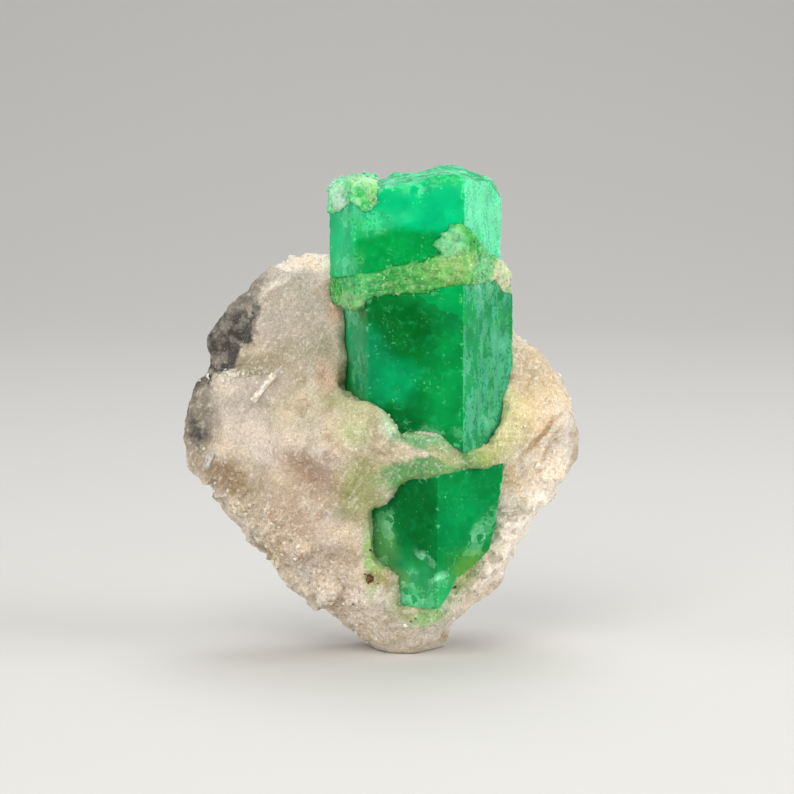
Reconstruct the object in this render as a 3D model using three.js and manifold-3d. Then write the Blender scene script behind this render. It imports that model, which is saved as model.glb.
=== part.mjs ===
// An emerald in matrix: one long beryl crystal, broken twice while it was in the rock and healed again, standing in
// a pale lump of sugary quartz and feldspar. Millimetres, +Z up, and the specimen's front faces -Y.
import * as THREE from "three";
import { mergeVertices } from "three/addons/utils/BufferGeometryUtils.js";
import Module from "manifold-3d";

const wasm = await Module();
wasm.setup();

// Driving dimensions
const GAP = 0.3; // clearance between pieces that touch
const SIGHT = THREE.MathUtils.degToRad(7); // the outlines are drawn as seen from this far above the level
const HEART = { x: 0, z: 26 }; // the point that the rock's outline goes round
const ROCK_DETAIL = 16; // divisions of each edge of the icosahedron that becomes the rock
const RIM_SHARPNESS = 5; // how late the rock's front and back turn towards its rim
const RIM_FULLNESS = 0.55;
const FAR = 80; // larger than the specimen, for cutting blocks

// The rock's outline seen from the front: x and seen height, anticlockwise from beside the crystal's right side.
const ROCK_OUTLINE = [
  [24.4, 30.9], [22.8, 33.8], [21.1, 36.2], [19.0, 38.4], [16.8, 40.2], [12.6, 43.4], [7.0, 46.4], [0.5, 48.2],
  [-5.6, 48.9], [-10.0, 49.2], [-12.3, 48.5], [-14.9, 46.9], [-17.0, 44.2], [-19.2, 41.4], [-21.2, 38.8],
  [-22.0, 36.0], [-22.5, 33.8], [-23.8, 31.2], [-25.0, 28.0], [-24.9, 25.0], [-23.7, 22.5], [-21.2, 20.6],
  [-19.2, 17.6], [-17.5, 14.9], [-14.9, 11.9], [-12.4, 8.9], [-9.7, 6.0], [-6.4, 4.2], [-4.0, 2.6], [-1.6, -0.2],
  [0.8, -3.4], [3.6, -4.4], [6.2, -3.6], [8.0, -0.8], [9.2, 2.8], [11.9, 5.6], [14.1, 5.9], [15.6, 8.2],
  [16.2, 11.2], [18.2, 15.3], [20.0, 17.9], [22.6, 20.1], [24.2, 22.8], [24.7, 25.3], [25.1, 28.0],
];

// How far the rock's front stands forward of y = 0: x, seen height and depth.
const FRONT_POSTS = [
  [-10.0, 46.0, 3.4], [-14.0, 41.0, 4.4], [-5.6, 44.5, 4.6], [-5.4, 38.5, 5.2], [-10.5, 38.5, 5.8],
  [-19.5, 37.0, 3.0], [-5.4, 34.4, 6.2], [-16.3, 31.0, 6.2], [-22.6, 27.0, 3.8], [-10.0, 30.0, 8.2],
  [0.9, 27.8, 13.2], [-1.4, 29.6, 12.4], [-4.2, 29.6, 10.6], [-5.0, 25.0, 10.8], [-17.6, 23.0, 6.2],
  [-10.0, 21.5, 8.8], [-2.8, 20.0, 10.2], [-2.0, 14.5, 9.0], [-5.6, 9.6, 7.8], [1.0, 8.0, 8.8],
  [4.4, 3.6, 9.0], [3.8, 0.4, 6.4], [9.2, 6.6, 8.9], [12.6, 10.4, 8.6], [15.4, 14.4, 7.4], [16.4, 19.6, 8.0],
  [12.4, 24.1, 11.6], [6.4, 24.6, 13.0], [14.6, 26.6, 10.0], [16.6, 29.6, 8.0], [17.6, 34.0, 4.6],
  [20.6, 31.0, 5.4], [21.4, 24.4, 6.2], [19.0, 19.6, 6.4], [6.0, 38.0, 3.4], [9.0, 13.0, 5.0],
];

// How far its back stands behind y = 0. The back is thicker on the right, which puts the weight over the foot.
const BACK_POSTS = [
  [-10.0, 44.0, 4.8], [-18.0, 36.0, 3.2], [-20.5, 27.0, 3.4], [-8.0, 31.0, 7.2], [5.0, 43.0, 9.2],
  [5.0, 31.0, 13.2], [16.0, 34.0, 12.4], [21.0, 26.0, 11.4], [11.0, 16.0, 12.6], [-8.0, 16.0, 6.2],
  [3.8, 1.0, 6.8], [14.0, 10.0, 9.8], [-14.5, 19.0, 4.8],
];

// Breaks of the rock: a point on each plane, and the way the plane faces.
const ROCK_BREAKS = [
  { name: "lower left flank", at: [-20.2, -3.6, 21.6], faces: [-0.68, -0.42, -0.6] },
  { name: "upper left shoulder", at: [-19.8, -1.0, 40.4], faces: [-0.66, -0.6, 0.42] },
  { name: "lower right flank", at: [19.4, -3.0, 17.4], faces: [0.66, -0.55, -0.51] },
  { name: "back left", at: [-15.5, 3.8, 30.0], faces: [-0.45, 0.88, 0.1] },
  { name: "back upper", at: [2.0, 8.4, 42.0], faces: [0.12, 0.72, 0.66] },
  { name: "back lower", at: [0.0, 9.5, 12.0], faces: [-0.25, 0.85, -0.42] },
  { name: "back right", at: [19.6, 8.6, 24.0], faces: [0.78, 0.6, -0.12] },
];

// Mica has split away from the left lobe's front down to this plane, above a ragged ledge.
const SPLIT_OUTLINE = [
  [-27.0, 34.0], [-22.6, 34.7], [-21.4, 34.4], [-20.4, 34.0], [-18.8, 34.5], [-17.0, 34.3], [-15.2, 34.8],
  [-13.4, 35.7], [-12.6, 37.4], [-13.6, 40.6], [-14.4, 46.0], [-27.0, 46.0],
];
const SPLIT = { at: [-18.8, -2.0, 35.2], faces: [-0.52, -0.83, 0.2] };

// Each crystal section is a hexagonal prism. faces holds the distance from its axis to each face, in turn from the
// front one towards the right. turn is the angle by which the front face looks to the left. lean moves it forward
// for each millimetre up, from low.
const TOP = { axis: [4.2, -4.6], turn: 4, faces: [6.6, 9.1, 9.5, 6.9, 8.4, 9.1], low: 44, high: 66, lean: 0 };
const MIDDLE = { axis: [5.0, -4.4], turn: 8, faces: [7.2, 9.1, 10.6, 7.2, 8.5, 8.2], low: 22, high: 52, lean: 0 };
const BASE = { axis: [7.0, -1.6], turn: 31, faces: [6.9, 7.3, 8.4, 4.8, 4.8, 8.1], low: 2, high: 28, lean: 0.13 };
const SEAM = { axis: [4.9, -4.4], turn: 6, faces: [7.1, 9.4, 10.2, 7.6, 9.2, 9.4], low: 38, high: 60, lean: 0 };

// What is seen of the sections from the front, as x and seen height, each with its broken ends.
const MIDDLE_OUTLINE = [
  [-6.0, 47.0], [-6.0, 36.0], [-4.9, 33.4], [-4.3, 32.2], [-2.7, 31.6], [-0.9, 30.9], [1.1, 29.8], [2.0, 28.3],
  [2.3, 25.6], [3.2, 27.5], [5.4, 27.5], [7.5, 26.9], [9.3, 25.9], [10.5, 25.1], [12.7, 25.6], [13.9, 26.3],
  [14.8, 28.9], [15.4, 30.4], [15.8, 32.4], [16.0, 34.5], [17.4, 38.0], [18.0, 47.0],
];
const BASE_OUTLINE = [
  [-1.1, 17.7], [0.3, 17.9], [1.0, 18.6], [1.4, 19.9], [2.1, 20.6], [2.9, 21.2], [4.4, 21.6], [6.0, 21.6],
  [7.0, 22.0], [8.2, 22.2], [10.9, 22.7], [13.3, 23.2], [15.4, 23.4], [15.1, 20.7], [14.6, 18.0], [14.3, 15.4],
  [13.5, 12.7], [12.5, 11.7], [10.6, 10.1], [9.3, 9.2], [8.6, 7.4], [7.4, 5.6], [6.2, 5.6], [2.8, 5.8],
  [2.7, 7.0], [2.3, 9.5], [0.8, 10.8], [-0.3, 11.4], [-0.6, 14.2], [-0.9, 16.2],
];
const SEAM_BAND = [
  [-9, 43.4], [-5.4, 43.7], [-4.7, 43.2], [-4.2, 42.8], [-2.6, 42.9], [-0.7, 44.3], [2.6, 44.7], [5.9, 44.5],
  [6.8, 45.0], [9.3, 45.5], [11.6, 45.8], [14.3, 46.4], [15.3, 44.9], [20, 44.4], [20, 46.4], [16.2, 46.7],
  [15.0, 48.6], [12.4, 49.3],
  [8.5, 49.0], [6.4, 48.4], [5.9, 48.0], [4.4, 48.0], [1.8, 47.4], [-0.2, 46.8], [-2.8, 46.6], [-9, 46.4],
];
// A tongue of the same filling that runs up the front over the top section's edge.
const TONGUE = [
  [5.8, 48.2], [8.2, 49.0], [7.5, 49.7], [7.1, 50.5], [8.0, 51.4], [9.0, 52.2], [9.8, 52.5], [10.8, 52.0],
  [12.0, 50.6], [13.0, 49.4], [14.4, 48.0], [13.6, 47.4], [9.0, 47.0],
];
const TONGUE_DEPTH = 3.2;

const TOP_END = [
  [-7, 57.2], [-4.4, 58.6], [-1.8, 58.9], [-0.4, 58.6], [0.5, 59.2], [2.1, 59.7], [4.4, 60.0], [6.9, 60.6],
  [8.9, 60.9], [9.6, 60.7], [11.0, 60.2], [13.6, 59.8], [16, 59.4],
];
const TOP_CHAMFERS = [
  { at: [14.2, -5, 58.6], faces: [0.85, -0.1, 0.5] },
  { at: [11.2, -10.6, 60.4], faces: [0.4, -0.75, 0.52] },
];
const CRUST = { right: -0.45, low: 55.3, stands: 0.15, top: 1.3, back: -4.2 }; // on the top section's left corner
const GRAIN = { x: -1.0, y: -8.3, z: 10.4, radius: 0.62 }; // a rusty grain in its pit

const smooth = THREE.MathUtils.smoothstep;

// The real height of a place that is seen at this height and lies at depth y.
const heightOf = (seen, y) => (seen - y * Math.sin(SIGHT)) / Math.cos(SIGHT);

// A repeatable value from 0 to 1 for a cell of space.
function cellValue(i, j, k) {
  let h = Math.imul(i, 374761393) ^ Math.imul(j, 668265263) ^ Math.imul(k, 1442695041);
  h = Math.imul(h ^ (h >>> 13), 1274126177);
  return ((h ^ (h >>> 16)) >>> 0) / 4294967295;
}

// Smooth noise from -1 to 1 with cells of the given size.
function noise(point, size) {
  const [x, y, z] = [point.x / size, point.y / size, point.z / size];
  const [i, j, k] = [Math.floor(x), Math.floor(y), Math.floor(z)];
  const ease = (t) => t * t * (3 - 2 * t);
  const [u, v, w] = [ease(x - i), ease(y - j), ease(z - k)];
  let sum = 0;
  for (const [a, fa] of [[0, 1 - u], [1, u]])
    for (const [b, fb] of [[0, 1 - v], [1, v]])
      for (const [c, fc] of [[0, 1 - w], [1, w]]) sum += fa * fb * fc * cellValue(i + a, j + b, k + c);
  return 2 * sum - 1;
}

// The height of a hand-drawn line at x.
function along(line, x) {
  const after = line.findIndex(([px]) => px > x);
  if (after === 0) return line[0][1];
  if (after < 0) return line[line.length - 1][1];
  const [[x0, z0], [x1, z1]] = [line[after - 1], line[after]];
  return z0 + ((z1 - z0) * (x - x0)) / (x1 - x0);
}

// The depth at a place between posts, each weighing less with distance.
function between(posts, x, z) {
  let [sum, weights] = [0, 0];
  for (const [px, pz, depth] of posts) {
    const weight = ((x - px) ** 2 + (z - pz) ** 2 + 1.2) ** -1.8;
    sum += weight * depth;
    weights += weight;
  }
  return sum / weights;
}

// A geometry's points, merged, as a solid.
function solidOf(geometry) {
  const bare = geometry.clone();
  bare.deleteAttribute("normal");
  bare.deleteAttribute("uv");
  const merged = mergeVertices(bare, 1e-4);
  return new wasm.Manifold(
    new wasm.Mesh({
      numProp: 3,
      vertProperties: new Float32Array(merged.attributes.position.array),
      triVerts: new Uint32Array(merged.index.array),
    }),
  );
}

function geometryOf(solid) {
  const mesh = solid.getMesh();
  const geometry = new THREE.BufferGeometry();
  geometry.setAttribute("position", new THREE.BufferAttribute(mesh.vertProperties, mesh.numProp));
  geometry.setIndex(new THREE.BufferAttribute(mesh.triVerts, 1));
  const flat = geometry.toNonIndexed();
  flat.computeVertexNormals();
  return flat;
}

// A block with one face through a point, covering all that lies on the side that the face looks to.
function halfSpace(at, faces) {
  const block = new THREE.BoxGeometry(2 * FAR, 2 * FAR, 2 * FAR);
  block.translate(0, 0, FAR);
  const turn = new THREE.Quaternion().setFromUnitVectors(
    new THREE.Vector3(0, 0, 1),
    new THREE.Vector3(...faces).normalize(),
  );
  block.applyQuaternion(turn);
  block.translate(...at);
  return solidOf(block);
}

// The rock's outline as a radius for each angle round its heart.
const outlineByAngle = ROCK_OUTLINE.map(([x, seen]) => {
  const [dx, dz] = [x - HEART.x, heightOf(seen, 0) - HEART.z];
  return [Math.atan2(dz, dx), Math.hypot(dx, dz)];
}).sort((a, b) => a[0] - b[0]);

function outlineRadius(angle) {
  const turn = 2 * Math.PI;
  const [first, last] = [outlineByAngle[0], outlineByAngle[outlineByAngle.length - 1]];
  return along([[last[0] - turn, last[1]], ...outlineByAngle, [first[0] + turn, first[1]]], angle);
}

const frontPosts = FRONT_POSTS.map(([x, seen, depth]) => [x, heightOf(seen, -depth), depth]);

// Rounded knobs, coarser lumps, and quieter ground on the smooth upper left face.
function lumps(point) {
  const quiet = smooth(point.z, 32, 37) * (1 - smooth(point.x, -5, -2)) * (1 - smooth(point.y, -1, 1));
  const nearCrystal = smooth(point.x, -5, 0) * (1 - smooth(point.x, 14, 17)) * (1 - smooth(point.y, -6, -3));
  const broad = 0.75 * noise(point, 8.5);
  const knobs = 0.9 * Math.abs(noise(point, 3.7)) - 0.35;
  const fine = 0.3 * noise(point, 1.9);
  return (broad + knobs + fine) * (1 - 0.75 * quiet) * (1 - 0.5 * nearCrystal);
}

function bareIcosahedron() {
  const ball = new THREE.IcosahedronGeometry(1, ROCK_DETAIL);
  ball.deleteAttribute("normal");
  ball.deleteAttribute("uv");
  return mergeVertices(ball);
}

function rockBody() {
  const rock = bareIcosahedron();
  const position = rock.attributes.position;
  const point = new THREE.Vector3();
  for (let i = 0; i < position.count; i++) {
    point.fromBufferAttribute(position, i);
    const share = Math.min(1, Math.hypot(point.x, point.z));
    const angle = Math.atan2(point.z, point.x);
    const reach = share * outlineRadius(angle);
    const [x, z] = [HEART.x + reach * Math.cos(angle), HEART.z + reach * Math.sin(angle)];
    const rim = (1 - share ** RIM_SHARPNESS) ** RIM_FULLNESS;
    const depth = between(point.y < 0 ? frontPosts : BACK_POSTS, x, z);
    position.setXYZ(i, x, Math.sign(point.y) * depth * rim, z);
  }
  rock.computeVertexNormals();
  const normal = new THREE.Vector3();
  for (let i = 0; i < position.count; i++) {
    point.fromBufferAttribute(position, i);
    normal.fromBufferAttribute(rock.attributes.normal, i);
    point.addScaledVector(normal, lumps(point));
    position.setXYZ(i, point.x, point.y, point.z);
  }
  return solidOf(rock);
}

// A hexagonal prism from its six face distances, each grown by the same amount. ahead sweeps it forward by so much.
function hexagon({ axis, turn, faces, low, high, lean }, grow = 0, ahead = 0) {
  const corners = faces.map((distance, k) => {
    const [d0, d1] = [distance + grow, faces[(k + 1) % 6] + grow];
    const [a0, a1] = [60 * k, 60 * (k + 1)].map((angle) => THREE.MathUtils.degToRad(angle - 90 - turn));
    const across = Math.sin(a1 - a0);
    return new THREE.Vector2(
      (d0 * Math.sin(a1) - d1 * Math.sin(a0)) / across,
      (d1 * Math.cos(a0) - d0 * Math.cos(a1)) / across,
    );
  });
  const shape = new THREE.Shape(ahead ? sweptForward(corners, ahead) : corners);
  const prism = new THREE.ExtrudeGeometry(shape, { depth: high - low, bevelEnabled: false });
  const position = prism.attributes.position;
  for (let i = 0; i < position.count; i++) position.setY(i, position.getY(i) - lean * position.getZ(i));
  prism.translate(axis[0], axis[1], low);
  return solidOf(prism);
}

// The ground that convex corners, given anticlockwise, pass over when they move forward.
function sweptForward(corners, ahead) {
  const across = corners.map((corner) => corner.x);
  const left = across.indexOf(Math.min(...across));
  const turned = [...corners.slice(left), ...corners.slice(0, left)];
  const right = turned.findIndex((corner) => corner.x === Math.max(...across));
  const moved = turned.slice(0, right + 1).map((corner) => new THREE.Vector2(corner.x, corner.y - ahead));
  return [turned[0], ...moved, ...turned.slice(right)];
}

// An outline moved outwards by the same amount all round.
function offset(outline, by) {
  const points = outline.map(([x, v]) => new THREE.Vector2(x, v));
  const side = Math.sign(THREE.ShapeUtils.area(points));
  return points.map((point, i) => {
    const before = point.clone().sub(points.at(i - 1)).normalize();
    const after = points[(i + 1) % points.length].clone().sub(point).normalize();
    const outward = new THREE.Vector2(before.y + after.y, -before.x - after.x).multiplyScalar(side).normalize();
    const half = Math.max(0.5, outward.dot(new THREE.Vector2(after.y, -after.x).multiplyScalar(side)));
    return point.clone().addScaledVector(outward, by / half);
  });
}

// A block whose front outline is as given and whose sides run back along the line of sight, roughened like a break.
function sightBlock(outline, grow = 0, front = -20, back = 8) {
  const depth = back - front;
  const shape = new THREE.Shape(offset(outline, grow));
  const block = new THREE.ExtrudeGeometry(shape, { depth, steps: Math.ceil(depth / 3.5), bevelEnabled: false });
  const position = block.attributes.position;
  const point = new THREE.Vector3();
  for (let i = 0; i < position.count; i++) {
    const y = back - position.getZ(i);
    point.set(position.getX(i), y, heightOf(position.getY(i), y));
    const behind = smooth(y, -12, -4);
    const [aside, up] = [0.35 * behind * noise(point, 3.1), 0.9 * behind * noise(point, 4.3)];
    position.setXYZ(i, point.x + aside, y, point.z + up);
  }
  return solidOf(block);
}

// A block from the middle of the seam up, whose top is the crystal's broken end, raised by the given amount.
function upperBlock(lift) {
  const [width, depth, columns, rows] = [28, 24, 20, 8];
  const block = new THREE.BoxGeometry(width, depth, 1, columns, rows, 1);
  const position = block.attributes.position;
  for (let i = 0; i < position.count; i++) {
    const [x, y] = [position.getX(i) + 5, position.getY(i) - 4];
    const end = along(TOP_END, x) + 0.35 * noise(new THREE.Vector3(x, y, 60), 2.6) + 0.04 * y;
    position.setXYZ(i, x, y, position.getZ(i) > 0 ? end + lift : 47);
  }
  return solidOf(block);
}

function crustCorner(grow) {
  const ragged = [[-12, CRUST.low + 0.3], [-5, CRUST.low - 0.3], [-3.2, CRUST.low + 0.5], [-1.7, CRUST.low - 0.9]];
  const outline = [...ragged, [CRUST.right, CRUST.low], [CRUST.right, 70], [-12, 70]];
  return sightBlock(outline, grow, -20, CRUST.back);
}

const bandBlock = (grow) => sightBlock(SEAM_BAND, grow);
const tongueBlock = (grow) => {
  const front = hexagon(SEAM, grow).subtract(hexagon(SEAM, -TONGUE_DEPTH - grow));
  return sightBlock(TONGUE, grow, -20, -4).intersect(front);
};

function crystalSections() {
  let top = hexagon(TOP).intersect(upperBlock(0));
  for (const { at, faces } of TOP_CHAMFERS) top = top.subtract(halfSpace(at, faces));
  top = top.subtract(bandBlock(GAP)).subtract(tongueBlock(GAP)).subtract(crustCorner(GAP));
  const crust = hexagon(TOP, CRUST.stands)
    .intersect(upperBlock(CRUST.top))
    .intersect(crustCorner(0))
    .subtract(halfSpace([-5.8, -6, 58.6], [-0.7, -0.1, 0.7]));
  const seam = hexagon(SEAM).intersect(bandBlock(0)).add(tongueBlock(0));
  const middle = hexagon(MIDDLE).intersect(sightBlock(MIDDLE_OUTLINE)).subtract(bandBlock(GAP));
  const base = hexagon(BASE).intersect(sightBlock(BASE_OUTLINE));
  return { top, crust, seam, middle, base };
}

// The room that the crystal takes in the rock, and the rock broken away in front of it.
function sockets() {
  const top = hexagon({ ...TOP, low: 47 }, GAP);
  const seam = hexagon(SEAM, GAP).intersect(bandBlock(GAP));
  const middle = hexagon(MIDDLE, GAP, 12).intersect(sightBlock(MIDDLE_OUTLINE, GAP));
  const base = hexagon(BASE, GAP, 12).intersect(sightBlock(BASE_OUTLINE, GAP));
  return [top, seam, middle, base];
}

function rustyGrain(radius) {
  const grain = new THREE.DodecahedronGeometry(radius, 0);
  grain.translate(GRAIN.x, GRAIN.y, GRAIN.z);
  return solidOf(grain);
}

function matrix() {
  let rock = rockBody();
  for (const { at, faces } of ROCK_BREAKS) rock = rock.subtract(halfSpace(at, faces));
  rock = rock.subtract(sightBlock(SPLIT_OUTLINE).intersect(halfSpace(SPLIT.at, SPLIT.faces)));
  rock = rock.subtract(halfSpace([0, 0, 0], [0, 0, -1])); // the flat that it stands on
  for (const socket of sockets()) rock = rock.subtract(socket);
  rock = rock.subtract(rustyGrain(GRAIN.radius + GAP));
  return largest(rock);
}

// The main body of a solid, without any splinters that the cuts left.
function largest(solid) {
  return solid.decompose().sort((a, b) => b.volume() - a.volume())[0];
}

const rockStone = new THREE.MeshStandardMaterial({ color: "#d2c3ab", roughness: 0.72, metalness: 0 });
const seamStone = new THREE.MeshStandardMaterial({ color: "#8fb566", roughness: 0.65, metalness: 0 });
const emerald = new THREE.MeshStandardMaterial({ color: "#05944c", roughness: 0.3, metalness: 0 });
const rust = new THREE.MeshStandardMaterial({ color: "#6b4420", roughness: 0.6, metalness: 0 });

function piece(name, solid, material) {
  const mesh = new THREE.Mesh(geometryOf(solid), material);
  mesh.name = name;
  return mesh;
}

const sections = crystalSections();
const specimen = new THREE.Group();
specimen.add(
  piece("matrix", matrix(), rockStone),
  piece("emerald_top", largest(sections.top), emerald),
  piece("emerald_middle", largest(sections.middle), emerald),
  piece("emerald_base", largest(sections.base), emerald),
  piece("healed_seam", largest(sections.seam), seamStone),
  piece("corner_crust", largest(sections.crust), seamStone),
  piece("rusty_grain", rustyGrain(GRAIN.radius), rust),
);

// The origin is under the middle of the whole, on the flat that it stands on.
const middle = new THREE.Box3().setFromObject(specimen).getCenter(new THREE.Vector3());
for (const mesh of specimen.children) mesh.position.set(-middle.x, -middle.y, 0);

export default specimen;
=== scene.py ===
"""An emerald in matrix: one beryl crystal, broken and healed, in sugary quartz and feldspar."""
import math
import random

import bpy
import numpy as np
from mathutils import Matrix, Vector


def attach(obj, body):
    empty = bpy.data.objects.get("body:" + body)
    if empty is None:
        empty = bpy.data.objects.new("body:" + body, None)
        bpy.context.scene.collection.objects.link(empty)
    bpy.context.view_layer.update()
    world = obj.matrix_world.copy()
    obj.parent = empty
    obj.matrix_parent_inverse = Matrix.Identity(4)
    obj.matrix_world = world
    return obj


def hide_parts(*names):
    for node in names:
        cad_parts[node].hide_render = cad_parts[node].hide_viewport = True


bl_info = {
    "name": "Emerald in matrix",
    "version": (1, 0, 0),
    "blender": (4, 5, 0),
    "location": "View3D > Sidebar > Specimen",
    "description": "Builds a healed emerald crystal in its pale rock, and the stage it stands on",
    "category": "Add Mesh",
}

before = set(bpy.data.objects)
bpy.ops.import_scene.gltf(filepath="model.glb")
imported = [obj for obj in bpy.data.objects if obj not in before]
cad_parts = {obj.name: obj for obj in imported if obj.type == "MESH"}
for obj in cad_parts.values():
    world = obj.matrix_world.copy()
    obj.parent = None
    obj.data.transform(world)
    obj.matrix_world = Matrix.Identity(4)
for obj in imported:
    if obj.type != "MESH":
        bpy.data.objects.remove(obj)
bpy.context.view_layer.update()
MM = 0.001
BODY = "root"


def linear(hex_code):
    """An sRGB hex colour as linear red, green and blue, with full alpha."""
    parts = [int(hex_code[i:i + 2], 16) / 255 for i in (1, 3, 5)]
    return [p / 12.92 if p <= 0.04045 else ((p + 0.055) / 1.055) ** 2.4 for p in parts] + [1.0]


# Stretches of the rock's surface: centre and half sizes in mm, and the turn about Y in degrees.
ROCK_PLACES = {
    "smooth upper face": ((-11.5, -4.5, 41.0), (7.5, 6.0, 7.5), 25),
    "smooth middle": ((-13.0, -7.0, 28.0), (8.0, 6.0, 5.5), 0),
    "mica split": ((-19.5, -1.0, 39.4), (2.8, 5.0, 6.4), 35),
    "silver rim": ((-18.2, 0.0, 44.0), (6.4, 6.0, 1.3), -48),
    "left shoulder": ((-20.2, -0.5, 41.4), (4.0, 5.0, 2.6), -52),
    "rim corner": ((-12.3, -0.6, 50.4), (2.2, 7.0, 1.8), 0),
    "ledge": ((-17.6, -4.0, 30.6), (6.4, 7.0, 4.9), -4),
    "ledge lip": ((-17.3, -4.6, 35.2), (5.4, 3.0, 0.7), -4),
    "grey edge": ((-23.6, -2.0, 29.0), (2.4, 5.0, 5.0), 0),
    "top rim": ((-9.0, -1.5, 49.4), (5.6, 6.0, 1.7), 4),
    "left flank": ((-10.5, -3.0, 12.5), (17.0, 9.0, 4.4), 43),
    "right flank": ((16.5, -2.0, 15.0), (15.5, 8.0, 3.8), -56),
    "right shoulder": ((20.5, 0.0, 35.0), (7.0, 9.0, 2.4), 48),
    "back": ((0.0, 13.0, 28.0), (22.0, 8.0, 26.0), 0),
}

# How rough the broken edges are, from smooth at 0 to coarse sugar at 1.
GRANULAR = {
    "top rim": 0.45,
    "left flank": 0.85,
    "right flank": 0.55,
    "right shoulder": 0.4,
    "grey edge": 0.35,
}

# How far the rock's surface is pushed out, in mm.
PUSHES = {"off the foot": 0.2, "ledge": 1.1, "left shoulder": 1.2, "rim corner": -1.4}

# How much of each crystal section's green seeps into the rock beside it.
SEEPING = {"top": 0.0, "middle": 0.45, "base": 1.0}

# How many shapes of broken grain there are.
GRAIN_SHAPES = 5

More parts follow.
